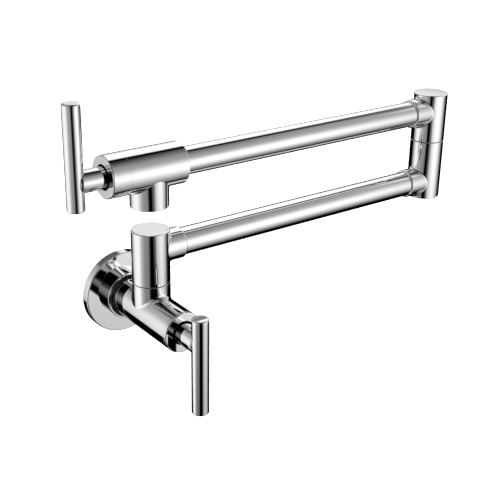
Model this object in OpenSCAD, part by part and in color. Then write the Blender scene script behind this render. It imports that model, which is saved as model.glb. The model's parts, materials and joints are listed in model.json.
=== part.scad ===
// Wall mounted pot filler with two folding arms and a lever valve at each end.
// The origin is on the wall plane, at the centre of the inlet. The folded arms run along +X,
// -Y points out of the wall and +Z is up. All sizes are in millimetres.

/* [Layout] */
// Distance from the wall to the swivel axis of the base column
wall_to_column = 46.7; // [44:0.1:60]
// Length of each arm between its two vertical axes
arm_length = 276; // [180:1:330]
// Height of the base swivel's seam above the inlet's axis
base_rise = 24.3; // [24:0.1:40]
// Height of the elbow's seam above the lower arm's axis
elbow_rise = 36; // [30:0.5:70]

/* [Swivel columns] */
// Outer diameter of the swivel columns
column_d = 28; // [27:0.5:34]
// Height from a swivel seam up to the axis of the arm above it
column_below = 25; // [24:0.1:32]
// Height from an arm's axis up to the top of its column
column_above = 15.5; // [15:0.1:24]
// Height from the lower arm's axis down to the foot of the elbow
elbow_foot = 13.9; // [13.8:0.1:24]

/* [Arm tubes] */
// Outer diameter of the arm tubes
tube_d = 20.5; // [18:0.5:21]
// Wall thickness of the arm tubes
tube_wall = 1.5; // [1:0.1:2]
// Wall thickness of the sockets that hold the tubes
socket_wall = 1.4; // [1:0.1:2]
// Distance from a column's axis to the mouth of its socket
socket_reach = 24.5; // [21:0.5:34]

/* [Valve bodies] */
// Outer diameter of the wall valve and of the spout body
body_d = 30.6; // [29.6:0.2:36]
// Distance from the base column's axis to the front face of the wall valve
valve_reach = 42.4; // [40:0.1:43.5]
// Distance from the outlet's axis to the handle face of the spout
spout_nose = 36.1; // [33:0.1:40]
// Distance from the outlet's axis to the tube end of the spout
spout_tail = 24.7; // [20:0.1:34]
// Height from the upper arm's axis down to the outlet's rim
spout_drop = 27.6; // [25:0.1:36]
// Outer diameter of the outlet
outlet_d = 28; // [27:0.5:30]
// Length of the wall valve's bonnet that shows
wall_bonnet_len = 2.5; // [2.4:0.1:6]
// Length of the spout's bonnet that shows
spout_bonnet_len = 14.3; // [6:0.1:14.5]

/* [Lever handles] */
// Diameter of the lever bars
bar_d = 12.7; // [10:0.1:14]
// Length of the lever bars
bar_len = 74.5; // [60:0.5:90]
// Length of a bar on the short side of its hub's axis
bar_short_end = 20; // [14:0.5:30]
// Diameter of the lever hubs
lever_hub_d = 15.8; // [14.4:0.1:16]
// Distance from a valve's face to the axis of its bar
handle_standoff = 21; // [18:0.5:26]

/* [Wall flange] */
// Diameter of the wall flange
flange_d = 64.5; // [60:0.5:84]
// Depth of the flange from the wall to its flat face
flange_depth = 7.4; // [6.5:0.1:9]
// Wall thickness of the flange
flange_wall = 1.8; // [1.4:0.1:2.4]
// Radial thickness of the flange's hub around the valve body
hub_wall = 3.4; // [3:0.1:4.5]
// Height of the hub above the flange's flat face
hub_rise = 7.8; // [6.6:0.1:10]

/* [Inlet] */
// Outside diameter of the half inch inlet thread
inlet_thread_d = 20.95; // [20:0.05:22]
// Diameter of the water way through the inlet
inlet_bore_d = 13; // [10:0.5:14]
// Length of the inlet thread that stands behind the wall plane
inlet_stickout = 16; // [10:0.5:30]

/* [Hidden] */

$fn = 96;

// Clearances and small edges
overrun = 1;
running_gap = 0.05;
fit_gap = 0.05;
hub_gap = 1.3;
seal_gap = 0.03;
clip_gap = 0.2;
edge = 0.5;
seam_edge = 0.25;
hair_edge = 0.1;
bar_edge = 1.3;
column_edge = 0.9;
rim_edge = 0.9;
collar_edge = 1.2;

// Swivel joint, measured from its seam
post_r = 10;
post_bore_r = 7;
post_sink = 12;
post_rise = 18.4;
post_edge = 0.4;
swivel_washer_t = 0.5;
swivel_washer_inset = 0.4;
swivel_oring_section = 1.6;
swivel_oring_rise = 4.5;
swivel_oring_pitch = 5;
swivel_oring_count = 2;
clip_t = 1.2;
clip_depth = 0.9;
clip_ring_w = 1.5;
clip_mouth_angle = 50;
clip_lug_r = 1.25;
clip_eye_r = 0.6;
ledge_rise = 15;
ledge_w = 2.5;
chamber_wall = 2.3;

// Caps that close the columns
cap_t = 2.2;
cap_rebate = 0.9;
cap_spigot_t = 2.4;
cap_oring_section = 1.2;
cap_margin = 0.4;

// Quarter-turn cartridge, measured inwards from the face of its valve
seat_depth = 49.5;
sleeve_len = 18.5;
cartridge_thread_len = 10;
nut_len = 7;
seal_t = 2;
disc_t = 2.5;
nut_af = 19;
collar_r = 11.3;
collar_t = 1.5;
cartridge_thread_r = 10.4;
cartridge_sleeve_r = 9;
disc_r = 7.5;
disc_port_r = 6.2;
disc_web_r = 1.6;
disc_port_angle = 76;
driver_t = 2.4;
driver_leg_len = 4;
driver_leg_angle = 56;
driver_gap = 0.2;
tab_depth = 0.8;
tab_w = 2.2;
tab_gap = 0.1;
spindle_r = 3.9;
spindle_out = 9.5;
spline_teeth = 20;
spline_depth = 0.35;
spline_len = 8;
spindle_oring_section = 1;
spindle_oring_inset = 6;
window_angle = 70;

// Bonnets and lever hubs
bonnet_wall = 3;
skirt_len = 6;
skirt_r = 13;
nut_bore_r = 11.5;
hub_inset = 2;
hub_edge = 0.6;
hub_nose = 3.4;
hub_bore_len = 11;
grub_r = 2;
grub_len = 3.2;
grub_depth = 6.5;
grub_socket_r = 1.15;
grub_socket_len = 1.8;

// Water ways inside the bodies
port_r = 5.5;
seat_bore_r = 6.5;
seat_wall = 2;
inlet_washer_t = 1.5;
inlet_socket_len = 14;

// Inlet nipple and flange seals
nipple_hex_af = 25;
nipple_hex_len = 6;
nipple_hex_inset = 2.4;
nipple_edge = 0.8;
flange_edge = 0.9;
flange_back_edge = 0.6;
hub_rim_edge = 0.6;
flange_oring_section = 2;
flange_oring_sink = 0.25;
gasket_t = 2;
gasket_w = 4;
body_inset = 5.2;

// Aerator in the outlet
aerator_rim_recess = 0.6;
aerator_housing_h = 8.4;
aerator_washer_t = 1.5;
aerator_wall = 1.6;
aerator_lip_w = 0.8;
aerator_lip_t = 1.1;
outlet_wall = 2;
grille_t = 1.6;
grille_skirt_w = 0.8;
grille_skirt_h = 3.2;
grille_pitch = 2.25;
grille_hole_r = 0.88;
grille_rings = 3;
jet_plate_t = 1.4;
jet_plate_r_share = 0.72;
jet_hole_r = 0.7;
jet_holes = 12;
aerator_slot_w = 2.4;
aerator_slot_depth = 0.6;

// Places and radii that follow from the sizes above
column_r = column_d / 2;
tube_r = tube_d / 2;
tube_bore_r = tube_r - tube_wall;
socket_bore_r = tube_r + fit_gap;
socket_r = socket_bore_r + socket_wall;
body_r = body_d / 2;
outlet_r = outlet_d / 2;
bar_r = bar_d / 2;
lever_hub_r = lever_hub_d / 2;
flange_r = flange_d / 2;
inlet_thread_r = inlet_thread_d / 2;
inlet_bore_r = inlet_bore_d / 2;

lower_arm_z = base_rise + column_below;
elbow_seam_z = lower_arm_z + elbow_rise;
upper_arm_z = elbow_seam_z + column_below;
column_bore_r = post_r + running_gap;
chamber_r = column_r - chamber_wall;
tube_start = chamber_r + ledge_w / 2;
seam_gap = swivel_washer_t + running_gap;
swivel_groove_r = column_bore_r - seal_gap - swivel_oring_section;
clip_foot = seam_gap + ledge_rise + clip_gap;
clip_inner_r = post_r - clip_depth + fit_gap;
clip_outer_r = clip_inner_r + clip_ring_w;
cap_groove_r = chamber_r - seal_gap - cap_oring_section;

hub_bore_r = body_r + fit_gap;
flange_hub_r = hub_bore_r + hub_wall;
hub_front = flange_depth + hub_rise;
body_back = hub_front - body_inset;
valve_face = wall_to_column + valve_reach;
cartridge_bore_r = cartridge_thread_r + fit_gap;
oring_seat_r = hub_bore_r + flange_oring_section;
oring_seat_back = hub_front - flange_oring_sink - flange_oring_section - fit_gap;
bonnet_hole_r = lever_hub_r + hub_gap;

sleeve_start = seat_depth - sleeve_len;
thread_start = sleeve_start - cartridge_thread_len;
nut_start = thread_start - nut_len;
spindle_oring_depth = sleeve_start - spindle_oring_inset;
sleeve_bore_r = disc_r + fit_gap;
moving_disc_depth = seat_depth - seal_t - 2 * disc_t;
driver_depth = moving_disc_depth - driver_leg_len;
driver_r = disc_r - driver_gap;
spindle_groove_r = spindle_r + running_gap - seal_gap - spindle_oring_section;

aerator_recess = aerator_rim_recess + aerator_housing_h + aerator_washer_t;
aerator_bore_r = outlet_r - outlet_wall;
housing_r = aerator_bore_r - fit_gap;
housing_bore_r = housing_r - aerator_wall;
grille_r = housing_bore_r - fit_gap;
jet_skirt_h = aerator_housing_h - aerator_lip_t - grille_t - grille_skirt_h - jet_plate_t;
spout_tube_start = seat_depth + seat_wall - spout_nose;

chrome = [0.83, 0.84, 0.85];
brass = [0.78, 0.62, 0.32];
steel = [0.62, 0.63, 0.65];
rubber = [0.07, 0.07, 0.075];
nylon = [0.88, 0.87, 0.83];
acetal = [0.09, 0.09, 0.1];
ceramic = [0.93, 0.92, 0.9];
hex_corner_share = 1 / cos(30);

// Solid of revolution about Z with rounded outer edges at its foot and its head
module turned(radius, length, foot, head) {
    rotate_extrude() {
        square([radius - max(foot, head), length]);
        translate([0, foot])
            square([radius, length - foot - head]);
        if (foot > 0) {
            square([radius - foot, foot]);
            translate([radius - foot, foot])
                circle(foot);
        }
        if (head > 0) {
            translate([0, length - head])
                square([radius - head, head]);
            translate([radius - head, length - head])
                circle(head);
        }
    }
}

// Plain ring about Z that stands on its local origin
module ring(outer, inner, height) {
    difference() {
        cylinder(r = outer, h = height);
        translate([0, 0, -overrun])
            cylinder(r = inner, h = height + 2 * overrun);
    }
}

// Hole along Z from one height to another
module hole(radius, from, to) {
    translate([0, 0, from])
        cylinder(r = radius, h = to - from);
}

module oring(inner, section) {
    rotate_extrude()
        translate([inner + section / 2, 0])
            circle(section / 2);
}

// Groove in a shaft of the given radius, centred on its local origin
module shaft_groove(shaft_r, floor_r, width) {
    translate([0, 0, -width / 2])
        ring(shaft_r + overrun, floor_r, width);
}

module hex_prism(across_flats, height) {
    cylinder(r = across_flats / 2 * hex_corner_share, h = height, $fn = 6);
}

// Flat sector of a disc, as an outline, centred on +X
module sector(radius, angle) {
    reach = 2 * radius;
    polygon([
        [0, 0],
        [reach * cos(angle / 2), -reach * sin(angle / 2)],
        [reach / cos(angle / 4), 0],
        [reach * cos(angle / 2), reach * sin(angle / 2)],
    ]);
}

// Frames in which the repeated assemblies are drawn
module at_base() {
    translate([0, -wall_to_column, base_rise])
        children();
}

// The elbow's frame is turned so that its sockets point back along the arms
module at_elbow() {
    translate([arm_length, -wall_to_column, elbow_seam_z])
        rotate([0, 0, 180])
            children();
}

// +Z points out of the wall valve's face, and +Y is up
module at_wall_valve() {
    translate([0, -valve_face, 0])
        rotate([90, 0, 0])
            children();
}

// +Z points out of the spout's handle face, and +Y is up
module at_spout_valve() {
    translate([-spout_nose, -wall_to_column, upper_arm_z])
        rotate([90, 0, -90])
            children();
}

// The outlet's frame has its origin on the rim, with +Z up the water way
module at_outlet() {
    translate([0, -wall_to_column, upper_arm_z - spout_drop])
        children();
}

// Runs along +X from a column's axis, for the sockets and tubes
module along_x() {
    rotate([0, 90, 0])
        children();
}

// Swivel joint: the parts that both columns share

module swivel_post() {
    color(brass)
        difference() {
            translate([0, 0, -post_sink])
                turned(post_r, post_sink + post_rise, post_edge, post_edge);
            hole(post_bore_r, -post_sink - overrun, post_rise + overrun);
            for (n = [0 : swivel_oring_count - 1])
                translate([0, 0, swivel_oring_rise + n * swivel_oring_pitch])
                    shaft_groove(post_r, swivel_groove_r, swivel_oring_section + 2 * fit_gap);
            translate([0, 0, clip_foot + clip_t / 2])
                shaft_groove(post_r, post_r - clip_depth, clip_t + 2 * fit_gap);
        }
}

module swivel_orings() {
    color(rubber)
        for (n = [0 : swivel_oring_count - 1])
            translate([0, 0, swivel_oring_rise + n * swivel_oring_pitch])
                oring(swivel_groove_r, swivel_oring_section);
}

// Open ring with two eyes, snapped into the groove at the head of the post
module swivel_circlip() {
    eye_reach = clip_outer_r - clip_lug_r;
    eye_angle = clip_mouth_angle / 2 + asin(clip_lug_r / eye_reach);
    color(steel)
        translate([0, 0, clip_foot])
            linear_extrude(clip_t)
                difference() {
                    union() {
                        difference() {
                            circle(clip_outer_r);
                            circle(clip_inner_r);
                            sector(clip_outer_r, clip_mouth_angle);
                        }
                        difference() {
                            for (side = [-1, 1])
                                rotate(side * eye_angle)
                                    translate([eye_reach, 0])
                                        circle(clip_lug_r);
                            circle(clip_inner_r);
                        }
                    }
                    for (side = [-1, 1])
                        rotate(side * eye_angle)
                            translate([eye_reach, 0])
                                circle(clip_eye_r);
                }
}

module swivel_washer() {
    color(acetal)
        ring(column_r - swivel_washer_inset, post_r + fit_gap, swivel_washer_t);
}

// Column that turns on the post: its seam is at the bottom and its socket points along +X
module swivel_column() {
    head = column_below + column_above;
    color(chrome)
        difference() {
            union() {
                translate([0, 0, seam_gap])
                    turned(column_r, head - seam_gap, seam_edge, column_edge);
                translate([0, 0, column_below])
                    along_x()
                        turned(socket_r, socket_reach, seam_edge, collar_edge);
            }
            hole(column_bore_r, -overrun, head - cap_t);
            hole(chamber_r, seam_gap + ledge_rise, head - cap_t);
            hole(chamber_r + cap_rebate, head - cap_t, head + overrun);
            translate([0, 0, column_below])
                along_x()
                    tube_socket_cut();
        }
}

module tube_socket_cut() {
    hole(tube_bore_r, 0, socket_reach);
    hole(socket_bore_r, tube_start, socket_reach + overrun);
}

// Flush cap with a sealing spigot; its outer face is at the local origin, facing +Z
module column_cap() {
    spigot_r = chamber_r - fit_gap;
    color(chrome)
        union() {
            translate([0, 0, -cap_t])
                turned(chamber_r + cap_rebate - fit_gap, cap_t, 0, hair_edge);
            difference() {
                translate([0, 0, -cap_t - cap_spigot_t])
                    cylinder(r = spigot_r, h = cap_spigot_t);
                translate([0, 0, -cap_t - cap_spigot_t / 2])
                    shaft_groove(spigot_r, cap_groove_r, cap_oring_section + 2 * fit_gap);
                translate([0, 0, -cap_t - cap_spigot_t - overrun])
                    cylinder(r = cap_groove_r - cap_margin, h = cap_spigot_t + overrun);
            }
        }
}

module column_cap_oring() {
    color(rubber)
        translate([0, 0, -cap_t - cap_spigot_t / 2])
            oring(cap_groove_r, cap_oring_section);
}

// Straight arm tube between two distances from the base column's axis, at a height
module arm_tube(from, to, height) {
    color(chrome)
        translate([0, -wall_to_column, height])
            along_x()
                difference() {
                    hole(tube_r, from, to);
                    hole(tube_bore_r, from - overrun, to + overrun);
                }
}

module lower_arm_tube() {
    arm_tube(tube_start, arm_length - tube_start, lower_arm_z);
}

module upper_arm_tube() {
    arm_tube(spout_tube_start, arm_length - tube_start, upper_arm_z);
}

// Quarter-turn cartridge, drawn from the valve's face at zero down to the seat

module cartridge() {
    color(brass)
        difference() {
            union() {
                translate([0, 0, -thread_start])
                    hex_prism(nut_af, thread_start - nut_start);
                hole(collar_r, -thread_start, collar_t - thread_start);
                hole(cartridge_thread_r, -sleeve_start, -thread_start);
                hole(cartridge_sleeve_r, seal_t - seat_depth, -sleeve_start);
            }
            hole(spindle_r + running_gap, -sleeve_start - overrun, -nut_start + overrun);
            hole(sleeve_bore_r, -seat_depth, -sleeve_start);
            translate([0, 0, -moving_disc_depth])
                linear_extrude(driver_leg_len)
                    for (turn = [0, 180])
                        rotate(turn)
                            sector(cartridge_thread_r, window_angle);
        }
}

// Disc outline with two ports on opposite sides
module disc_outline() {
    difference() {
        circle(disc_r);
        for (turn = [0, 180])
            rotate(turn)
                intersection() {
                    difference() {
                        circle(disc_port_r);
                        circle(disc_web_r);
                    }
                    sector(disc_port_r, disc_port_angle);
                }
    }
}

module fixed_disc() {
    color(ceramic)
        translate([0, 0, seal_t - seat_depth])
            linear_extrude(disc_t)
                disc_outline();
}

// A quarter turn from the fixed disc's ports, so that the valve is shut at rest
module moving_disc() {
    color(ceramic)
        translate([0, 0, -moving_disc_depth - disc_t])
            difference() {
                linear_extrude(disc_t)
                    rotate(90)
                        disc_outline();
                for (turn = [0, 180])
                    rotate(turn)
                        translate([driver_r - tab_depth, -tab_w / 2, disc_t - tab_depth])
                            cube([disc_r, tab_w, disc_r]);
            }
}

module seat_seal() {
    color(rubber)
        translate([0, 0, -seat_depth])
            ring(cartridge_sleeve_r, disc_port_r, seal_t);
}

// Stem with a splined end, a seal groove and a forked driver for the moving disc
module spindle() {
    color(brass)
        difference() {
            union() {
                hole(spindle_r, -driver_depth, spindle_out);
                hole(driver_r, -driver_depth, driver_t - driver_depth);
                for (turn = [0, 180])
                    rotate(turn)
                        driver_leg();
            }
            translate([0, 0, -spindle_oring_depth])
                shaft_groove(spindle_r, spindle_groove_r, spindle_oring_section + 2 * fit_gap);
            for (tooth = [0 : spline_teeth - 1])
                rotate(tooth * 360 / spline_teeth)
                    translate([spindle_r, 0, spindle_out - spline_len])
                        rotate(45)
                            cube([spline_depth, spline_depth, 2 * spline_len]);
        }
}

// One leg of the driver, with the tab that turns the disc
module driver_leg() {
    translate([0, 0, -moving_disc_depth])
        linear_extrude(driver_leg_len)
            intersection() {
                difference() {
                    circle(driver_r);
                    circle(spindle_r - driver_gap);
                }
                sector(disc_r, driver_leg_angle);
            }
    translate([driver_r - tab_depth + tab_gap, tab_gap - tab_w / 2, tab_gap - moving_disc_depth - tab_depth])
        cube([tab_depth - tab_gap, tab_w - 2 * tab_gap, tab_depth]);
}

module spindle_oring() {
    color(rubber)
        translate([0, 0, -spindle_oring_depth])
            oring(spindle_groove_r, spindle_oring_section);
}

// Bonnet: the barrel that shows, with a skirt inside the body and a hole that the lever hub sinks into
module bonnet(barrel, back_edge) {
    color(chrome)
        difference() {
            union() {
                translate([0, 0, -barrel])
                    turned(body_r, barrel, back_edge, rim_edge);
                hole(skirt_r, -barrel - skirt_len, -barrel + back_edge);
            }
            hole(bonnet_hole_r, -bonnet_wall - overrun, overrun);
            hole(nut_bore_r, -barrel - skirt_len - overrun, -bonnet_wall);
        }
}

// Everything that is cut from a body to hold a bonnet and a cartridge
module valve_cut(barrel) {
    hole(skirt_r + fit_gap, -barrel - skirt_len - fit_gap, overrun);
    hole(nut_bore_r, -thread_start, overrun);
    hole(cartridge_bore_r, -seat_depth, overrun);
    hole(seat_bore_r, -seat_depth - seat_wall - overrun, overrun);
}

// Lever hub, coped round its bar, with a bore for the spindle and a grub screw below
module lever_hub() {
    color(chrome)
        difference() {
            translate([0, 0, -hub_inset])
                turned(lever_hub_r, handle_standoff + hub_inset, hub_edge, hub_nose);
            translate([0, 0, handle_standoff])
                rotate([90, 0, 0])
                    cylinder(r = bar_r + fit_gap, h = 4 * lever_hub_r, center = true);
            hole(spindle_r + fit_gap, -hub_inset - overrun, hub_bore_len);
            translate([0, 0, grub_depth])
                rotate([90, 0, 0])
                    hole(grub_r + fit_gap, 0, lever_hub_r + overrun);
        }
}

module grub_screw() {
    grub_head = lever_hub_r - seam_edge;
    color(steel)
        translate([0, 0, grub_depth])
            rotate([90, 0, 0])
                difference() {
                    hole(grub_r, grub_head - grub_len, grub_head);
                    translate([0, 0, grub_head - grub_socket_len])
                        cylinder(r = grub_socket_r * hex_corner_share, h = grub_len, $fn = 6);
                }
}

// Bar with its long end along local +Y
module lever_bar() {
    color(chrome)
        translate([0, -bar_short_end, handle_standoff])
            rotate([-90, 0, 0])
                turned(bar_r, bar_len, bar_edge, bar_edge);
}

// Wall side of the fitting

module wall_flange() {
    color(chrome)
        rotate([90, 0, 0])
            difference() {
                union() {
                    turned(flange_r, flange_depth, flange_back_edge, flange_edge);
                    turned(flange_hub_r, hub_front, 0, hub_rim_edge);
                }
                hole(flange_r - flange_wall, -overrun, flange_depth - flange_wall);
                hole(hub_bore_r, -overrun, hub_front + overrun);
                hole(flange_hub_r - flange_wall, -overrun, body_back);
                hole(oring_seat_r, oring_seat_back, hub_front + overrun);
            }
}

// Seal ring between the flange and the valve body, in view at the front of the flange's hub
module flange_oring() {
    color(rubber)
        rotate([90, 0, 0])
            translate([0, 0, hub_front - flange_oring_sink - flange_oring_section / 2])
                oring(hub_bore_r, flange_oring_section - seal_gap);
}

module flange_gasket() {
    outer = flange_r - flange_wall - fit_gap;
    color(rubber)
        rotate([90, 0, 0]) {
            ring(outer, outer - gasket_w, gasket_t);
            ring(outer, outer - gasket_w / 2, flange_depth - flange_wall);
        }
}

// Threaded nipple that joins the valve body to the pipe in the wall
module inlet_nipple() {
    inner_end = body_back + inlet_socket_len - inlet_washer_t;
    color(brass)
        rotate([90, 0, 0])
            difference() {
                union() {
                    translate([0, 0, -inlet_stickout])
                        turned(inlet_thread_r, inlet_stickout + nipple_hex_inset, nipple_edge, 0);
                    translate([0, 0, nipple_hex_inset])
                        hex_prism(nipple_hex_af, nipple_hex_len);
                    hole(inlet_thread_r, nipple_hex_inset, inner_end);
                }
                hole(inlet_bore_r, -inlet_stickout - overrun, inner_end + overrun);
            }
}

module inlet_washer() {
    color(rubber)
        rotate([90, 0, 0])
            translate([0, 0, body_back + inlet_socket_len - inlet_washer_t])
                ring(inlet_thread_r, inlet_bore_r, inlet_washer_t);
}

module valve_body() {
    barrel_front = valve_face - wall_bonnet_len;
    color(chrome)
        difference() {
            union() {
                rotate([90, 0, 0])
                    translate([0, 0, body_back])
                        turned(body_r, barrel_front - body_back, edge, seam_edge);
                translate([0, -wall_to_column, 0])
                    turned(column_r, base_rise, 0, seam_edge);
            }
            at_wall_valve()
                valve_cut(wall_bonnet_len);
            rotate([90, 0, 0]) {
                hole(inlet_thread_r + fit_gap, body_back - overrun, body_back + inlet_socket_len);
                hole(seat_bore_r, body_back, valve_face - seat_depth);
            }
            at_base() {
                hole(post_r + fit_gap, -post_sink, overrun);
                hole(port_r, -base_rise, overrun);
            }
        }
}

// Lower half of the elbow, drawn from the seam down, with its socket along +X
module elbow_lower() {
    foot = -elbow_rise - elbow_foot;
    color(chrome)
        at_elbow()
            difference() {
                union() {
                    translate([0, 0, foot])
                        turned(column_r, -foot, column_edge, seam_edge);
                    translate([0, 0, -elbow_rise])
                        along_x()
                            turned(socket_r, socket_reach, seam_edge, collar_edge);
                }
                hole(post_r + fit_gap, -post_sink, overrun);
                hole(post_bore_r, -post_sink - ledge_w - overrun, overrun);
                hole(chamber_r, foot + cap_t, -post_sink - ledge_w);
                hole(chamber_r + cap_rebate, foot - overrun, foot + cap_t);
                translate([0, 0, -elbow_rise])
                    along_x()
                        tube_socket_cut();
            }
}

// Turns a cap over, to close the foot of the elbow
module at_elbow_foot() {
    at_elbow()
        translate([0, 0, -elbow_rise - elbow_foot])
            rotate([180, 0, 0])
                children();
}

module at_column_top() {
    translate([0, 0, column_below + column_above])
        children();
}

// Spout end of the fitting

module spout_body() {
    tail_depth = spout_nose + spout_tail;
    color(chrome)
        difference() {
            union() {
                at_spout_valve()
                    translate([0, 0, -tail_depth])
                        turned(body_r, tail_depth - spout_bonnet_len, edge, hair_edge);
                at_outlet()
                    turned(outlet_r, spout_drop, edge, 0);
            }
            at_spout_valve() {
                valve_cut(spout_bonnet_len);
                hole(socket_bore_r, -tail_depth - overrun, -seat_depth - seat_wall);
            }
            at_outlet() {
                hole(aerator_bore_r, -overrun, aerator_recess);
                hole(port_r, 0, spout_drop);
            }
        }
}

// Threaded ring of the aerator, with a slot across its rim for a key
module aerator_housing() {
    color(chrome)
        at_outlet()
            translate([0, 0, aerator_rim_recess])
                difference() {
                    turned(housing_r, aerator_housing_h, seam_edge, 0);
                    hole(housing_bore_r - aerator_lip_w, -overrun, aerator_housing_h + overrun);
                    hole(housing_bore_r, aerator_lip_t, aerator_housing_h + overrun);
                    translate([-outlet_r, -aerator_slot_w / 2, -aerator_slot_depth])
                        cube([outlet_d, aerator_slot_w, 2 * aerator_slot_depth]);
                }
}

// Rows of holes on a triangular grid, kept inside a hexagon of the given number of rings
module honeycomb(rings, pitch, radius) {
    for (row = [-rings : rings])
        for (place = [-rings + max(0, row) : rings + min(0, row)])
            translate([pitch * (place - row / 2), pitch * row * sin(60)])
                circle(radius, $fn = 24);
}

module aerator_grille() {
    color(nylon)
        at_outlet()
            translate([0, 0, aerator_rim_recess + aerator_lip_t]) {
                linear_extrude(grille_t)
                    difference() {
                        circle(grille_r);
                        honeycomb(grille_rings, grille_pitch, grille_hole_r);
                    }
                translate([0, 0, grille_t])
                    ring(grille_r, grille_r - grille_skirt_w, grille_skirt_h);
            }
}

module aerator_jet_plate() {
    foot = aerator_rim_recess + aerator_lip_t + grille_t + grille_skirt_h;
    color(nylon)
        at_outlet()
            translate([0, 0, foot]) {
                linear_extrude(jet_plate_t)
                    difference() {
                        circle(grille_r);
                        for (n = [0 : jet_holes - 1])
                            rotate(n * 360 / jet_holes)
                                translate([jet_plate_r_share * grille_r, 0])
                                    circle(jet_hole_r, $fn = 24);
                    }
                translate([0, 0, jet_plate_t])
                    ring(grille_r, grille_r - grille_skirt_w, jet_skirt_h);
            }
}

module aerator_washer() {
    color(rubber)
        at_outlet()
            translate([0, 0, aerator_rim_recess + aerator_housing_h])
                ring(housing_r, port_r, aerator_washer_t);
}

wall_flange();
flange_gasket();
flange_oring();
inlet_nipple();
inlet_washer();
valve_body();
at_wall_valve() bonnet(wall_bonnet_len, seam_edge);  // wall_bonnet
at_wall_valve() cartridge();  // wall_cartridge
at_wall_valve() fixed_disc();  // wall_fixed_disc
at_wall_valve() seat_seal();  // wall_seat_seal
at_base() swivel_post();  // base_post
at_base() swivel_orings();  // base_post_orings
at_base() swivel_circlip();  // base_circlip
at_base() swivel_washer();  // base_washer
at_wall_valve() moving_disc();  // wall_moving_disc
at_wall_valve() spindle();  // wall_spindle
at_wall_valve() spindle_oring();  // wall_spindle_oring
at_wall_valve() lever_hub();  // wall_lever_hub
at_wall_valve() rotate([0, 0, 180]) lever_bar();  // wall_lever_bar
at_wall_valve() grub_screw();  // wall_grub_screw
at_base() swivel_column();  // base_column
at_base() at_column_top() column_cap();  // base_cap
at_base() at_column_top() column_cap_oring();  // base_cap_oring
lower_arm_tube();
elbow_lower();
at_elbow_foot() column_cap();  // elbow_plug
at_elbow_foot() column_cap_oring();  // elbow_plug_oring
at_elbow() swivel_post();  // elbow_post
at_elbow() swivel_orings();  // elbow_post_orings
at_elbow() swivel_circlip();  // elbow_circlip
at_elbow() swivel_washer();  // elbow_washer
at_elbow() swivel_column();  // elbow_upper
at_elbow() at_column_top() column_cap();  // elbow_cap
at_elbow() at_column_top() column_cap_oring();  // elbow_cap_oring
upper_arm_tube();
spout_body();
at_spout_valve() bonnet(spout_bonnet_len, hair_edge);  // spout_bonnet
at_spout_valve() cartridge();  // spout_cartridge
at_spout_valve() fixed_disc();  // spout_fixed_disc
at_spout_valve() seat_seal();  // spout_seat_seal
aerator_housing();
aerator_grille();
aerator_jet_plate();
aerator_washer();
at_spout_valve() moving_disc();  // spout_moving_disc
at_spout_valve() spindle();  // spout_spindle
at_spout_valve() spindle_oring();  // spout_spindle_oring
at_spout_valve() lever_hub();  // spout_lever_hub
at_spout_valve() lever_bar();  // spout_lever_bar
at_spout_valve() grub_screw();  // spout_grub_screw
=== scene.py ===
# Wall mounted pot filler: finishes, fine forms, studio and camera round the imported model.
import json
import math

import bpy
from mathutils import Matrix, Vector


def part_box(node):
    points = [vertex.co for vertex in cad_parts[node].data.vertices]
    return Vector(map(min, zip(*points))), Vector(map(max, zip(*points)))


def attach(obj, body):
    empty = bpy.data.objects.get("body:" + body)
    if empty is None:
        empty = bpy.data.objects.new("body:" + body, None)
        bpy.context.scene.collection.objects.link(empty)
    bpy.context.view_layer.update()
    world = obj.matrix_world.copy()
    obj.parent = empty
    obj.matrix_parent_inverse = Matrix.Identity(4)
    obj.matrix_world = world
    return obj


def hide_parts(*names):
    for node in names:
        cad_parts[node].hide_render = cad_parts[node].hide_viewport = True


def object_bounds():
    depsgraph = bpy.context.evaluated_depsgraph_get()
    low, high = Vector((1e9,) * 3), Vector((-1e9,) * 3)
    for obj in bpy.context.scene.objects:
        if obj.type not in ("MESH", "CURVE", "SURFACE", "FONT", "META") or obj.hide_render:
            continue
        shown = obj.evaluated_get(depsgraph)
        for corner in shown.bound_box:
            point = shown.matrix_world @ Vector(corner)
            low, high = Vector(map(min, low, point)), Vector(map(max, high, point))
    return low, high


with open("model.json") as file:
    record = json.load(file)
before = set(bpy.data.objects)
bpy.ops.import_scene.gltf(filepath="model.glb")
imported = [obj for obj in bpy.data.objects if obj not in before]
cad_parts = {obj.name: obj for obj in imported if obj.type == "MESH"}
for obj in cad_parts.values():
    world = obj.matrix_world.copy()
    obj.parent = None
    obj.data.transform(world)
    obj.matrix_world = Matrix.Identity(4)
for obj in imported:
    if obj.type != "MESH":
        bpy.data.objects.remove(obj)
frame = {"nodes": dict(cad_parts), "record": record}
cad_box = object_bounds()
nodes = frame["nodes"]
mounts = {mount["name"]: mount for mount in frame["record"]["mounts"]}

# Camera, solved from outlines in the photograph, in the row's frame
CAMERA_PLACE = Vector((-0.34418, -0.62144, 0.33518))
CAMERA_AZIMUTH = math.radians(-37.016)
CAMERA_ELEVATION = math.radians(23.177)
CAMERA_ROLL = math.radians(1.077)
FOCAL_PIXELS = 1012.07
PICTURE_PIXELS = 500
SENSOR_MM = 36.0
NEAREST = 0.01

# Floor, and the overhead light that the floor and the dull pieces get
FLOOR_DROP = 0.75
FLOOR_HALF = 6.0
FLOOR_TONES = (0.92, 0.94)
FLOOR_TONE_NOISE = (3.0, 2.0)
FLOOR_ROUGHNESS = 0.9
LIGHT_ENERGY = 2.6
LIGHT_SPREAD = math.radians(60)
LIGHT_TILT = (math.radians(20), math.radians(-15), 0.0)

# Studio: a round room that only mirrors see
ROOM_RADIUS = 0.85
ROOM_HEIGHT = 0.05
ROOM_SEGMENTS = 96
ROOM_RINGS = 48
BLACK = (0.0, 0.0, 0.0, 1.0)

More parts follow.
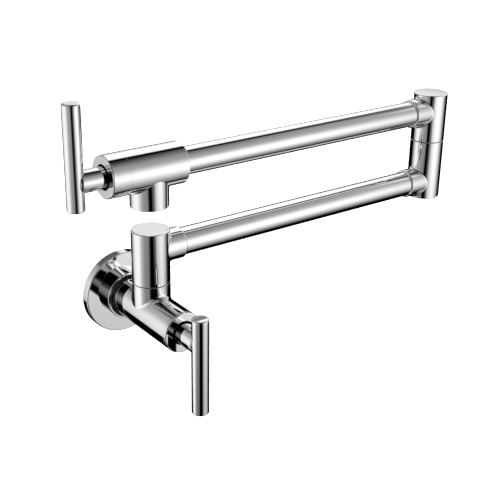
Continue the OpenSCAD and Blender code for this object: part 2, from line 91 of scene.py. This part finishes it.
# Light in the room by direction, with x, y and z as its parts. A pair is where a change starts and ends
# Light and dark round the horizon: degrees from the front (-Y) towards +X, and brightness
HORIZON = [
    (-180, 0.0), (-172, 0.0), (-167, 0.18), (-158, 0.38), (-148, 0.66), (-138, 0.90), (-126, 1.05),
    (-97, 1.05), (-85, 0.80), (-75, 0.55), (-65, 0.40), (-44, 0.33), (-38, 0.20), (-32, 0.0),
    (-17, 0.0), (-8, 0.17), (-2, 0.22), (5, 0.72), (15, 1.00), (25, 1.20), (35, 1.35), (45, 1.30),
    (55, 1.00), (65, 0.68), (73, 0.28), (79, 0.06), (84, 0.0), (180, 0.0),
]
# Brightness of the ceiling by z, and the dark line that crosses it, by y and z
CEILING_GREY = [(0.55, 0.40), (0.66, 0.37), (0.77, 0.28), (0.83, 0.19), (0.87, 0.12), (0.91, 0.05)]
DARK_LINE_FRONT = (-0.14, 0.05)
DARK_LINE_LIFT = (0.58, 0.78)
DARK_LINE_GREY = 0.5
DARK_LINE_BACK = (0.165, 0.26)
# Bright half of the ceiling's back: where it starts by x, its brightness, and how that rises by z
BRIGHT_HALF_SIDE = (0.22, 0.36)
CEILING_WHITE = (0.93, 1.12)
CEILING_WHITE_RISE = (0.40, 0.55)
# Values of y between which the front passes into the back
BACK_DEPTH = (0.0, 0.2)
# Heights over which the walls pass into the ceiling, at the front and at the back
RISE_FRONT = (-0.035, 0.616)
RISE_BACK = (0.225, 0.285)
# Dark stand behind the camera: azimuth, half widths in degrees, a level that stays free of it, and its top
STAND_AZIMUTH = -22
STAND_HALF = (13, 24)
STAND_LEVEL = -0.2
STAND_REACH = (0.10, 0.30)
STAND_TOP = (0.66, 0.80)
# Share of the ceiling's grey that is left over the front on the left side
LEFT_SHARE = 0.2
LEFT_SIDE = (-0.1, 0.38)
LEFT_FRONT = (-0.3, 0.0)
# Skylight over the left side: the height where it starts, how that leans, its side and its brightness
SKY_RISE = (0.83, 0.88)
SKY_LEAN = 0.1
SKY_SIDE = (0.0, -0.35)
SKY_GLOW = 0.5
# Soft-edged areas at the back: azimuth and half width in degrees, lower and upper edge, brightness
SOFT_AREAS = [
    (92, 26, 0.02, 0.62, 0.90),
    (180, 25, -0.02, 0.32, 0.90),
    (152, 15, 0.25, 0.51, 0.87),
    (177, 28, 0.37, 0.74, 0.12),
]
SOFT_EDGE_TURN = 9
SOFT_EDGE_RISE = 0.10
# Fall-off towards the ground at the front, and the edge of the dark ground with its tilt by x and y
FALL_FRONT = (0.0, -0.9)
FALL_SIDE = (0.50, 0.75)
FALL_SHARES = (0.75, 0.90)
GROUND_EDGE = (-0.86, -0.79)
GROUND_TILT = (0.15, 0.537)

# Finishes: values of a noise between which a finish changes, and a stretch that leaves a noise even
NOISE_LOW = 0.3
NOISE_HIGH = 0.7
EVEN = (1.0, 1.0, 1.0)
# Chrome: tints, noises as scale and detail, and the roughness of patches that a cloth has wiped
CHROME_TINTS = ((0.86, 0.865, 0.872), (0.885, 0.888, 0.893))
CHROME_TINT_NOISE = (14.0, 2.0)
CHROME_WAVE_NOISE = (38.0, 1.0)
CHROME_GRAIN_NOISE = (1400.0, 2.0)
WIPED_NOISE = (55.0, 6.0)
WIPED_NOISE_ROUGHNESS = 0.62
WIPED_RANGE = (0.45, 0.75)
WIPED_GLOSS = (0.012, 0.045)

# Cast fillets: radius of the ball that rolls round the foot of a stub or a collar
STUB_BALL = 0.0032
OUTLET_BALL = 0.0012
COLLAR_BALL = 0.0020
# Depth of a fillet in both surfaces, and its hidden corner's distance from the ball's centre in ball radii
FILLET_SINK = 0.000005
FILLET_CORNER = 1.7
FILLET_STEPS = 12
FILLET_TURN_STEPS = 144
# Walls of the outlet round the aerator, and of a collar round its tube
OUTLET_WALL = 0.00205
COLLAR_WALL = 0.00145

# Half inch pipe thread of the inlet, its root and flank as shares of half a pitch
THREAD_PITCH = 0.001814
THREAD_DEPTH = 0.001162
THREAD_ROOT_SHARE = 0.12
THREAD_FLANK_SHARE = 0.76
THREAD_RUN_OUT = 0.0016
THREAD_LEAD_IN = 0.0014
THREAD_START_DEPTH = 0.0002
THREAD_PITCH_STEPS = 12
# The hexagon behind the valve body, with the distances of its faces from the wall, and the nipple's bore
HEXAGON_BACK = 0.0024
HEXAGON_FRONT = 0.0084
HEXAGON_CHAMFER = 0.0011
HEXAGON_CORNER_CUT = 0.0017
INLET_BORE = 0.0065
NIPPLE_TURN_STEPS = 144
NIPPLE_SHARP = math.radians(35)


def half_size(node):
    """Half of a node's extent along each axis."""
    low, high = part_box(node)
    return (high - low) / 2


# Radii that the castings share, and the room's centre on the base column's axis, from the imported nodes
COLUMN_RADIUS = half_size("elbow_lower").y
BARREL_RADIUS = half_size("wall_bonnet").x
OUTLET_RADIUS = half_size("aerator_housing").x + OUTLET_WALL
COLLAR_RADIUS = half_size("lower_arm_tube").y + COLLAR_WALL
ROOM_CENTRE = Vector((0.0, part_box("base_column")[0].y + COLUMN_RADIUS, ROOM_HEIGHT))


def grey(level):
    """A plain grey as a colour."""
    return (level, level, level, 1.0)


class Shader:
    """A node tree with short calls for the nodes that the finishes use."""

    def __init__(self, tree):
        self.tree = tree
        tree.nodes.clear()

    def node(self, kind, inputs=None, **settings):
        made = self.tree.nodes.new(kind)
        for name, value in settings.items():
            setattr(made, name, value)
        for name, value in (inputs or {}).items():
            self.feed(made.inputs[name], value)
        return made

    def feed(self, socket, value):
        if isinstance(value, bpy.types.NodeSocket):
            self.tree.links.new(value, socket)
        else:
            socket.default_value = value

    def math(self, operation, first, second=0.0, third=0.0):
        made = self.node("ShaderNodeMath", {0: first, 1: second, 2: third}, operation=operation)
        return made.outputs[0]

    def fit(self, value, low, high, to_low=0.0, to_high=1.0, smooth=False):
        made = self.node("ShaderNodeMapRange", {0: value, 1: low, 2: high, 3: to_low, 4: to_high},
                         interpolation_type="SMOOTHSTEP" if smooth else "LINEAR")
        return made.outputs[0]

    def ramp(self, value, stops):
        """A gradient through stops of a place and either a brightness or a colour."""
        made = self.node("ShaderNodeValToRGB", {0: value})
        elements = made.color_ramp.elements
        while len(elements) < len(stops):
            elements.new(1.0)
        for element, (place, tone) in zip(elements, stops):
            element.position = place
            element.color = (*tone, 1.0) if isinstance(tone, tuple) else grey(tone)
        return made.outputs[0]

    def mix(self, factor, first, second):
        """A blend of two colours. The colour sockets share names with others, so they go by number."""
        made = self.node("ShaderNodeMix", {0: factor}, data_type="RGBA")
        self.feed(made.inputs[6], first)
        self.feed(made.inputs[7], second)
        return made.outputs[2]

    def place(self, stretch):
        coordinate = self.node("ShaderNodeTexCoord")
        return self.node("ShaderNodeMapping", {0: coordinate.outputs["Object"], 3: stretch}).outputs[0]

    def noise(self, scale, detail, stretch=EVEN, roughness=0.5):
        inputs = {"Vector": self.place(stretch), "Scale": scale, "Detail": detail, "Roughness": roughness}
        return self.node("ShaderNodeTexNoise", inputs).outputs[0]

    def bump(self, height, distance, after=None):
        made = self.node("ShaderNodeBump", {"Height": height, "Distance": distance, "Strength": 1.0})
        if after is not None:
            self.feed(made.inputs["Normal"], after)
        return made.outputs[0]


def finish(name, **inputs):
    """A new material: (itself, its shader tree, its principled node)."""
    material = bpy.data.materials.new(name)
    material.use_nodes = True
    shader = Shader(material.node_tree)
    values = {key.replace("_", " "): value for key, value in inputs.items()}
    body = shader.node("ShaderNodeBsdfPrincipled", values)
    output = shader.node("ShaderNodeOutputMaterial")
    shader.feed(output.inputs[0], body.outputs[0])
    return material, shader, body


def chrome(name, waves=EVEN, wave_height=0.00002, grain=EVEN, grain_height=0.0000004):
    """Mirror plating: faint waves left by polishing, a fine grain, and thin patches of wiped dullness."""
    material, shader, body = finish(name, Metallic=1.0)
    tint = shader.noise(*CHROME_TINT_NOISE)
    tint = shader.ramp(tint, [(NOISE_LOW, CHROME_TINTS[0]), (NOISE_HIGH, CHROME_TINTS[1])])
    shader.feed(body.inputs["Base Color"], tint)
    wiped = shader.noise(*WIPED_NOISE, grain, WIPED_NOISE_ROUGHNESS)
    wiped = shader.fit(wiped, *WIPED_RANGE, *WIPED_GLOSS, smooth=True)
    shader.feed(body.inputs["Roughness"], wiped)
    polish = shader.bump(shader.noise(*CHROME_WAVE_NOISE, waves), wave_height)
    fine = shader.bump(shader.noise(*CHROME_GRAIN_NOISE, grain), grain_height, after=polish)
    shader.feed(body.inputs["Normal"], fine)
    return material


def mottled(name, tones, mottle, roughness, haze, grain=None, stretch=EVEN, height=0.0, **inputs):
    """A finish between two tones and two roughnesses, by the noises mottle and haze, with a fine grain."""
    material, shader, body = finish(name, **inputs)
    tone = shader.ramp(shader.noise(*mottle), [(NOISE_LOW, tones[0]), (NOISE_HIGH, tones[1])])
    shader.feed(body.inputs["Base Color"], tone)
    dullness = shader.fit(shader.noise(*haze), NOISE_LOW, NOISE_HIGH, *roughness)
    shader.feed(body.inputs["Roughness"], dullness)
    if grain:
        shader.feed(body.inputs["Normal"], shader.bump(shader.noise(*grain, stretch), height))
    return material


def brass():
    """Machined brass with its turning marks."""
    return mottled(
        "machined_brass", tones=((0.62, 0.42, 0.16), (0.80, 0.60, 0.28)), mottle=(60.0, 5.0),
        roughness=(0.22, 0.38), haze=(240.0, 4.0),
        grain=(900.0, 2.0), stretch=(0.2, 1.0, 0.2), height=0.000004, Metallic=1.0)


def oxide_and_shade_brass():
    """Brass of the cartridges, brown from water and made darker still as painted shade for the gap round the
    hubs, where they show.
    """
    return mottled(
        "oxide_and_shade_brass", tones=((0.10, 0.065, 0.03), (0.20, 0.14, 0.07)), mottle=(90.0, 5.0),
        roughness=(0.42, 0.6), haze=(300.0, 4.0),
        grain=(1200.0, 3.0), height=0.000008, Metallic=1.0)


def rubber():
    """Black rubber of the seals and the gasket; the gasket's black rim behind the flange is also painted
    shade for the dark line between the flange and the wall.
    """
    return mottled(
        "seal_rubber", tones=((0.012, 0.012, 0.013), (0.028, 0.028, 0.030)), mottle=(220.0, 5.0),
        roughness=(0.62, 0.85), haze=(90.0, 3.0),
        grain=(1800.0, 3.0), height=0.00002, Specular_IOR_Level=0.35)


def steel():
    """Spring steel of the circlips and grub screws."""
    return mottled(
        "spring_steel", tones=((0.48, 0.49, 0.51), (0.62, 0.63, 0.65)), mottle=(80.0, 4.0),
        roughness=(0.2, 0.34), haze=(300.0, 4.0),
        grain=(1500.0, 2.0), height=0.000003, Metallic=1.0)


def nylon():
    """Off-white moulded nylon of the aerator's grille and jet plate."""
    return mottled(
        "moulded_nylon", tones=((0.76, 0.75, 0.71), (0.84, 0.83, 0.79)), mottle=(120.0, 4.0),
        roughness=(0.36, 0.5), haze=(400.0, 4.0),
        grain=(1600.0, 3.0), height=0.000008, Subsurface_Weight=0.08, Subsurface_Scale=0.002)


def acetal():
    """Black machined acetal of the swivel washers."""
    return mottled(
        "machined_acetal", tones=((0.022, 0.022, 0.024), (0.036, 0.036, 0.039)), mottle=(180.0, 4.0),
        roughness=(0.38, 0.52), haze=(260.0, 4.0),
        grain=(1200.0, 2.0), stretch=(1.0, 1.0, 4.0), height=0.000006, Specular_IOR_Level=0.4)


def ceramic():
    """Lapped white ceramic of the valve discs."""
    return mottled(
        "lapped_ceramic", tones=((0.86, 0.85, 0.82), (0.91, 0.90, 0.88)), mottle=(150.0, 3.0),
        roughness=(0.12, 0.2), haze=(500.0, 3.0), Coat_Weight=0.3, Coat_Roughness=0.1)


def dress_nodes():
    """Gives every CAD node the finish of its kind, and returns the finishes by material slot."""
    kinds = {
        "chrome": chrome("body_chrome"), "brass": brass(), "steel": steel(),
        "rubber": rubber(), "nylon": nylon(), "acetal": acetal(), "ceramic": ceramic(),
    }
    by_ending = {
        "arm_tube": chrome(
            "tube_chrome", waves=(0.2, 1.0, 1.0), wave_height=0.00001, grain=(0.05, 1.0, 1.0)),
        "lever_bar": chrome(
            "bar_chrome", waves=(1.0, 1.0, 0.3), wave_height=0.000008, grain=(1.0, 1.0, 0.1)),
        # The cartridges' dark brown brass is partly painted shade for the gap round the hubs.
        "_cartridge": oxide_and_shade_brass(),
    }
    for part in frame["record"]["subparts"]:
        material = kinds[part["material_slot"]]
        for ending, special in by_ending.items():
            if part["node"].endswith(ending):
                material = special
        for holder in nodes[part["node"]].material_slots:
            holder.material = material
    return kinds


def new_piece(name, points, faces, normals, body, material):
    """A smooth piece from row coordinates, with its exact normals if given, that rides on a body."""
    mesh = bpy.data.meshes.new(name)
    mesh.from_pydata(points, [], faces)
    mesh.polygons.foreach_set("use_smooth", [True] * len(faces))
    if normals:
        mesh.normals_split_custom_set_from_vertices(normals)
    mesh.materials.append(material)
    piece = bpy.data.objects.new(name, mesh)
    bpy.context.scene.collection.objects.link(piece)
    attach(piece, body)
    return piece


def frame_of(origin, along_barrel, along_stub):
    """Places a fillet whose barrel runs along local Y and whose stub runs along local Z."""
    across = along_barrel.cross(along_stub)
    axes = Matrix((across, along_barrel, along_stub)).transposed().to_4x4()
    return Matrix.Translation(origin) @ axes


def cast_fillet(name, body, place, barrel_radius, stub_radius, ball, material):
    """The rounded foot of a stub on a barrel, rolled out by a ball that touches both of them."""
    barrel = barrel_radius - FILLET_SINK
    stub = stub_radius - FILLET_SINK
    points, normals = [], []
    for turn in range(FILLET_TURN_STEPS):
        angle = 2 * math.pi * turn / FILLET_TURN_STEPS
        x = (stub + ball) * math.sin(angle)
        y = (stub + ball) * math.cos(angle)
        centre = Vector((x, y, math.sqrt((barrel + ball) ** 2 - x * x)))
        to_stub = -Vector((x, y, 0.0)).normalized()
        to_barrel = -Vector((x, 0.0, centre.z)).normalized()
        for step in range(FILLET_STEPS + 1):
            spoke = to_stub.slerp(to_barrel, step / FILLET_STEPS)
            points.append(place @ (centre + ball * spoke))
            normals.append(place.to_3x3() @ -spoke)
        inward = (to_stub + to_barrel).normalized()
        points.append(place @ (centre + FILLET_CORNER * ball * inward))
        normals.append(place.to_3x3() @ inward)
    ring = FILLET_STEPS + 2
    faces = []
    for turn in range(FILLET_TURN_STEPS):
        here = turn * ring
        there = (turn + 1) % FILLET_TURN_STEPS * ring
        for step in range(ring):
            after = (step + 1) % ring
            faces.append((here + step, there + step, there + after, here + after))
    new_piece(name, points, faces, normals, body, material)


def middle(node, axis):
    """Coordinate of a node's middle along an axis."""
    low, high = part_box(node)
    return (low[axis] + high[axis]) / 2


def castings(material):
    """Fillets where stubs and collars grow out of the barrels and columns."""
    x, y, z = Vector((1, 0, 0)), Vector((0, 1, 0)), Vector((0, 0, 1))
    column_y = middle("base_column", 1)
    base_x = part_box("base_column")[0].x + COLUMN_RADIUS
    elbow_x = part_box("elbow_upper")[1].x - COLUMN_RADIUS
    lower_z = middle("lower_arm_tube", 2)
    upper_z = middle("upper_arm_tube", 2)
    valve = Vector((base_x, column_y, middle("wall_bonnet", 2)))
    spout = Vector((base_x, column_y, upper_z))
    base = Vector((base_x, column_y, lower_z))
    elbow_foot = Vector((elbow_x, column_y, lower_z))
    elbow_top = Vector((elbow_x, column_y, upper_z))
    stub_radii = (BARREL_RADIUS, COLUMN_RADIUS, STUB_BALL)
    outlet_radii = (BARREL_RADIUS, OUTLET_RADIUS, OUTLET_BALL)
    collar_radii = (COLUMN_RADIUS, COLLAR_RADIUS, COLLAR_BALL)
    rows = [
        ("valve_stub_fillet", "wall_mount", frame_of(valve, y, z), stub_radii),
        ("outlet_fillet", "upper_arm", frame_of(spout, x, -z), outlet_radii),
        ("base_collar_fillet", "lower_arm", frame_of(base, z, x), collar_radii),
        ("elbow_collar_fillet", "lower_arm", frame_of(elbow_foot, z, -x), collar_radii),
        ("upper_collar_fillet", "upper_arm", frame_of(elbow_top, z, -x), collar_radii),
    ]
    for name, body, place, radii in rows:
        cast_fillet(name, body, place, *radii, material)


def hexagon_radius(angle, across_corners):
    """Distance from the axis to a hexagon's side."""
    sector = math.pi / 3
    return across_corners * math.cos(sector / 2) / math.cos(angle % sector - sector / 2)


def thread_radius(angle, depth_in, crest):
    """Radius of the pipe thread at an angle and a distance from its free end."""
    phase = (depth_in / THREAD_PITCH - angle / (2 * math.pi)) % 1.0
    flank = (abs(2 * phase - 1) - THREAD_ROOT_SHARE) / THREAD_FLANK_SHARE
    return crest - THREAD_DEPTH * (1 - max(0.0, min(1.0, flank)))


def nipple_rings(free_end, inner_end):
    """Rings of the nipple as (kind, y), from its free end along the outside and back through the bore."""
    hex_back, hex_front = -HEXAGON_BACK, -HEXAGON_FRONT
    thread_end = hex_back + THREAD_RUN_OUT
    steps = round((free_end - thread_end) / (THREAD_PITCH / THREAD_PITCH_STEPS))
    rings = []
    for step in range(steps + 1):
        rings.append(("thread", free_end + (thread_end - free_end) * step / steps))
    rings += [("root", hex_back), ("hex", hex_back), ("hex", hex_back - HEXAGON_CHAMFER)]
    rings += [("hex", hex_front + HEXAGON_CHAMFER), ("hex", hex_front), ("crest", hex_front)]
    return rings + [("crest", inner_end), ("bore", inner_end), ("bore", free_end)]


def nipple_radius(kind, place, angle, free_end, crest, corner):
    """Radius of a ring of the nipple at an angle."""
    root = crest - THREAD_DEPTH
    if kind == "thread":
        from_end = free_end - place
        to_end = place - THREAD_RUN_OUT + HEXAGON_BACK
        start = root + THREAD_START_DEPTH
        radius = max(thread_radius(angle, from_end, crest), root)
        radius = min(radius, start + from_end * THREAD_DEPTH / THREAD_LEAD_IN)
        return min(radius, start + to_end * THREAD_DEPTH / THREAD_PITCH)
    if kind == "hex":
        edge = min(-HEXAGON_BACK - place, place + HEXAGON_FRONT) / HEXAGON_CHAMFER
        cut = HEXAGON_CORNER_CUT * (1 - min(1.0, edge))
        return min(hexagon_radius(angle, corner), corner - cut)
    return {"root": root, "crest": crest, "bore": INLET_BORE}[kind]


def threaded_nipple(material):
    """The inlet nipple with its helical thread, standing for the plain one."""
    low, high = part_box("inlet_nipple")
    crest = mounts["inlet"]["dims"]["r_mm"] / 1000
    corner = half_size("inlet_nipple").x
    rings = nipple_rings(high.y, low.y)
    points = []
    for kind, place in rings:
        for turn in range(NIPPLE_TURN_STEPS):
            angle = 2 * math.pi * turn / NIPPLE_TURN_STEPS
            radius = nipple_radius(kind, place, angle, high.y, crest, corner)
            points.append((radius * math.cos(angle), place, radius * math.sin(angle)))
    faces = []
    for ring in range(len(rings)):
        here = ring * NIPPLE_TURN_STEPS
        there = (ring + 1) % len(rings) * NIPPLE_TURN_STEPS
        for turn in range(NIPPLE_TURN_STEPS):
            after = (turn + 1) % NIPPLE_TURN_STEPS
            faces.append((here + turn, here + after, there + after, there + turn))
    piece = new_piece("threaded_nipple", points, faces, None, "wall_mount", material)
    piece.data.set_sharp_from_angle(angle=NIPPLE_SHARP)
    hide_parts("inlet_nipple")


def wall_light(shader, azimuth, x, z, behind):
    """The walls: light and dark round the horizon, dimmer towards the ground at the front."""
    turn = shader.fit(azimuth, -math.pi, math.pi)
    horizon = shader.ramp(turn, [((angle + 180) / 360, level) for angle, level in HORIZON])
    fall = shader.fit(z, *FALL_FRONT, smooth=True)
    fall = shader.math("MULTIPLY", fall, shader.math("SUBTRACT", 1.0, behind))
    fall = shader.math("MULTIPLY", fall, shader.fit(x, *FALL_SIDE, *FALL_SHARES))
    return shader.math("MULTIPLY", horizon, shader.math("SUBTRACT", 1.0, fall))


def ceiling_light(shader, x, y, z, right_side):
    """The ceiling: grey over the front and the left, then a dark line, and white at the back right."""
    line = shader.fit(y, *DARK_LINE_FRONT, 1.0, 0.0)
    line = shader.math("MAXIMUM", line, shader.fit(z, *DARK_LINE_LIFT, DARK_LINE_GREY, 0.0))
    share = shader.math("MAXIMUM", line, shader.math("SUBTRACT", 1.0, right_side))
    left = shader.fit(x, *LEFT_SIDE, 1.0, 0.0)
    left = shader.math("MULTIPLY", left, shader.fit(y, *LEFT_FRONT, 1.0, 0.0))
    dim = shader.ramp(z, CEILING_GREY)
    dim = shader.math("MULTIPLY", dim, shader.fit(left, 0.0, 1.0, 1.0, LEFT_SHARE))
    white = shader.fit(z, *CEILING_WHITE_RISE, *CEILING_WHITE)
    white = shader.math("MULTIPLY", shader.fit(y, *DARK_LINE_BACK), white)
    white = shader.math("MULTIPLY", white, right_side)
    return shader.math("ADD", shader.math("MULTIPLY", dim, share), white)


def stand_share(shader, azimuth, z):
    """Share of a direction that the dark stand behind the camera covers."""
    aside = shader.math("ABSOLUTE", shader.math("SUBTRACT", azimuth, math.radians(STAND_AZIMUTH)))
    stand = shader.fit(aside, *[math.radians(half) for half in STAND_HALF], 1.0, 0.0, smooth=True)
    stand = shader.math("MULTIPLY", stand, shader.fit(z, *STAND_TOP, 1.0, 0.0, smooth=True))
    off_level = shader.math("ABSOLUTE", shader.math("SUBTRACT", z, STAND_LEVEL))
    return shader.math("MULTIPLY", stand, shader.fit(off_level, *STAND_REACH, smooth=True))


def soft_share(shader, azimuth, z, centre, half, bottom, top):
    """Share of a direction that a soft-edged area covers."""
    aside = shader.math("ABSOLUTE", shader.math("SUBTRACT", azimuth, math.radians(centre)))
    aside = shader.math("MINIMUM", aside, shader.math("SUBTRACT", 2 * math.pi, aside))
    edges = (math.radians(half - SOFT_EDGE_TURN), math.radians(half))
    across = shader.fit(aside, *edges, 1.0, 0.0, smooth=True)
    off_middle = shader.math("ABSOLUTE", shader.math("SUBTRACT", z, (bottom + top) / 2))
    reach = (top - bottom) / 2
    upright = shader.fit(off_middle, reach - SOFT_EDGE_RISE, reach, 1.0, 0.0, smooth=True)
    return shader.math("MULTIPLY", across, upright)


def room_light(shader, direction):
    """Brightness of the studio in a direction, as a colour socket."""
    x, y, z = shader.node("ShaderNodeSeparateXYZ", {0: direction}).outputs
    azimuth = shader.math("ARCTAN2", x, shader.math("MULTIPLY", y, -1.0))
    behind = shader.fit(y, *BACK_DEPTH)
    right_side = shader.fit(x, *BRIGHT_HALF_SIDE, smooth=True)
    walls = wall_light(shader, azimuth, x, z, behind)
    ceiling = ceiling_light(shader, x, y, z, right_side)

    # The walls pass into the ceiling softly at the front and on the left, and sharply at the back right
    sharp = shader.math("MULTIPLY", behind, right_side)
    low = shader.fit(sharp, 0.0, 1.0, RISE_FRONT[0], RISE_BACK[0])
    high = shader.fit(sharp, 0.0, 1.0, RISE_FRONT[1], RISE_BACK[1])
    room = shader.mix(shader.fit(z, low, high, smooth=True), walls, ceiling)
    room = shader.mix(stand_share(shader, azimuth, z), room, BLACK)

    rise = shader.math("MULTIPLY_ADD", shader.math("SUBTRACT", y, x), SKY_LEAN, z)
    sky = shader.math("MULTIPLY", shader.fit(rise, *SKY_RISE, smooth=True), shader.fit(x, *SKY_SIDE))
    room = shader.mix(sky, room, grey(SKY_GLOW))
    for centre, half, bottom, top, glow in SOFT_AREAS:
        share = soft_share(shader, azimuth, z, centre, half, bottom, top)
        room = shader.mix(share, room, grey(glow))

    # Below a tilted edge everything is dark
    tilt = shader.math("MULTIPLY_ADD", x, -GROUND_TILT[0], z)
    tilt = shader.math("MULTIPLY_ADD", y, -GROUND_TILT[1], tilt)
    return shader.mix(shader.fit(tilt, *GROUND_EDGE, smooth=True), BLACK, room)


def studio_room():
    """The walls that chrome mirrors. The camera and the soft light don't see them."""
    bpy.ops.mesh.primitive_uv_sphere_add(
        segments=ROOM_SEGMENTS, ring_count=ROOM_RINGS, radius=ROOM_RADIUS, location=ROOM_CENTRE)
    room = bpy.context.object
    room.name = "studio_room"
    material = bpy.data.materials.new("studio_walls")
    material.use_nodes = True
    shader = Shader(material.node_tree)
    place = shader.node("ShaderNodeNewGeometry").outputs["Position"]
    offset = shader.node("ShaderNodeVectorMath", {0: place, 1: ROOM_CENTRE}, operation="SUBTRACT").outputs[0]
    direction = shader.node("ShaderNodeVectorMath", {0: offset}, operation="NORMALIZE").outputs[0]
    glow = shader.node("ShaderNodeEmission", {"Color": room_light(shader, direction), "Strength": 1.0})
    output = shader.node("ShaderNodeOutputMaterial")
    shader.feed(output.inputs[0], glow.outputs[0])
    room.data.materials.append(material)
    for kind in ("camera", "diffuse", "transmission", "volume_scatter", "shadow"):
        setattr(room, "visible_" + kind, False)


def white_world():
    """The white ground of the picture, which also lights the dull pieces."""
    world = bpy.data.worlds.new("white")
    bpy.context.scene.world = world
    world.use_nodes = True
    shader = Shader(world.node_tree)
    sky = shader.node("ShaderNodeBackground", {"Color": grey(1.0), "Strength": 1.0})
    shader.feed(shader.node("ShaderNodeOutputWorld").inputs[0], sky.outputs[0])


def floor():
    """A plain pale floor, which chrome doesn't mirror."""
    bpy.ops.mesh.primitive_plane_add(size=2 * FLOOR_HALF, location=(0.0, 0.0, cad_box[0].z - FLOOR_DROP))
    plane = bpy.context.object
    plane.name = "studio_floor"
    material, shader, body = finish("floor_paper", Roughness=FLOOR_ROUGHNESS)
    stops = [(NOISE_LOW, FLOOR_TONES[0]), (NOISE_HIGH, FLOOR_TONES[1])]
    shader.feed(body.inputs["Base Color"], shader.ramp(shader.noise(*FLOOR_TONE_NOISE), stops))
    plane.data.materials.append(material)
    plane.visible_glossy = False


def soft_light():
    """An overhead light for the floor and the dull pieces. Chrome doesn't mirror it."""
    light = bpy.data.lights.new("overhead", "SUN")
    light.energy = LIGHT_ENERGY
    light.angle = LIGHT_SPREAD
    lamp = bpy.data.objects.new("overhead", light)
    lamp.rotation_euler = LIGHT_TILT
    lamp.visible_glossy = False
    bpy.context.scene.collection.objects.link(lamp)


def camera():
    """The photograph's camera."""
    back = Vector((math.sin(CAMERA_AZIMUTH) * math.cos(CAMERA_ELEVATION),
                   -math.cos(CAMERA_AZIMUTH) * math.cos(CAMERA_ELEVATION),
                   math.sin(CAMERA_ELEVATION)))
    level = Vector((math.cos(CAMERA_AZIMUTH), math.sin(CAMERA_AZIMUTH), 0.0))
    upright = back.cross(level)
    right = math.cos(CAMERA_ROLL) * level + math.sin(CAMERA_ROLL) * upright
    up = math.cos(CAMERA_ROLL) * upright - math.sin(CAMERA_ROLL) * level
    lens = bpy.data.cameras.new("camera")
    lens.sensor_width = SENSOR_MM
    lens.sensor_fit = "HORIZONTAL"
    lens.lens = FOCAL_PIXELS / PICTURE_PIXELS * SENSOR_MM
    lens.clip_start = NEAREST
    holder = bpy.data.objects.new("camera", lens)
    holder.matrix_world = Matrix((
        (right.x, up.x, back.x, CAMERA_PLACE.x),
        (right.y, up.y, back.y, CAMERA_PLACE.y),
        (right.z, up.z, back.z, CAMERA_PLACE.z),
        (0.0, 0.0, 0.0, 1.0),
    ))
    bpy.context.scene.collection.objects.link(holder)
    bpy.context.scene.camera = holder


bpy.context.scene.view_settings.view_transform = "Standard"
camera()
white_world()
studio_room()
soft_light()
floor()
finishes = dress_nodes()
castings(finishes["chrome"])
threaded_nipple(finishes["brass"])
